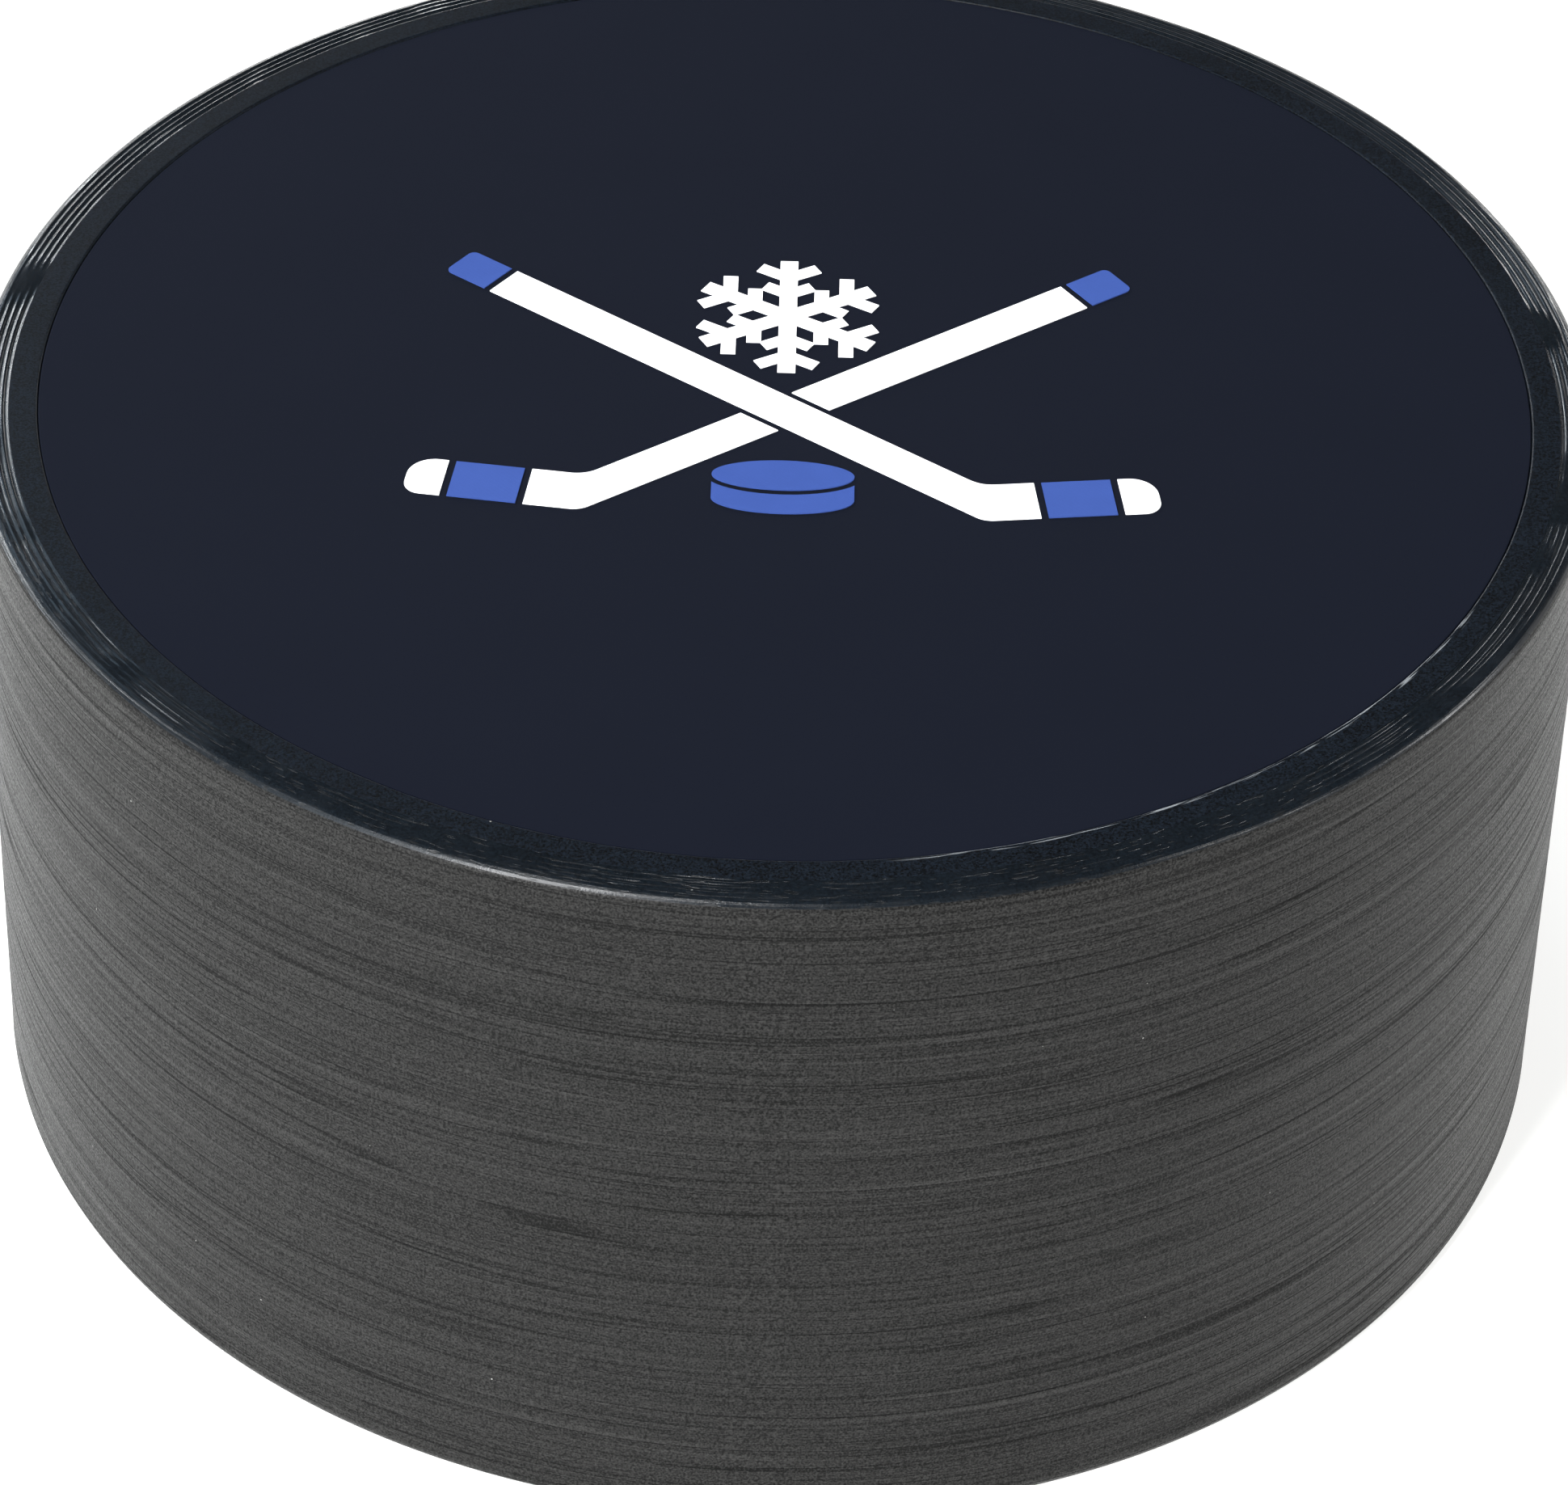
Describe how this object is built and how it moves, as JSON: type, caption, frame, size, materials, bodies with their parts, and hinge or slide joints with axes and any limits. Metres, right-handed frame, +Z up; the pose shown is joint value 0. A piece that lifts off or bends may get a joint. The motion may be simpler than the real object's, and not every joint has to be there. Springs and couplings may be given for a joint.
{
  "type": "hockey puck",
  "caption": "Thick ice hockey puck of dark moulded rubber with a lathe-turned side, fine rings round the rim and a printed navy disc let into its top face.",
  "frame": {"origin": "centre of the puck's flat bottom face, where it rests on the ice or a table", "axes": "+Z up along the puck's axis, towards the printed face; +Y towards the top of the printed emblem; +X to the emblem's right"},
  "size_m": [0.0762, 0.0762, 0.037],
  "materials": {
    "puck_rubber": "dark grey vulcanised rubber, satin, turned on the side and finely stippled on the faces",
    "clear_adhesive": "clear acrylic adhesive, soft and glossy",
    "navy_print": "matte navy printed film",
    "white_ink": "opaque matte white screen ink",
    "blue_ink": "opaque matte blue screen ink"
  },
  "bodies": {
    "root": {"puck_body": "puck_rubber", "adhesive_film": "clear_adhesive", "face_disc": "navy_print", "white_ink_print": "white_ink", "blue_ink_print": "blue_ink"}
  },
  "joints": []
}
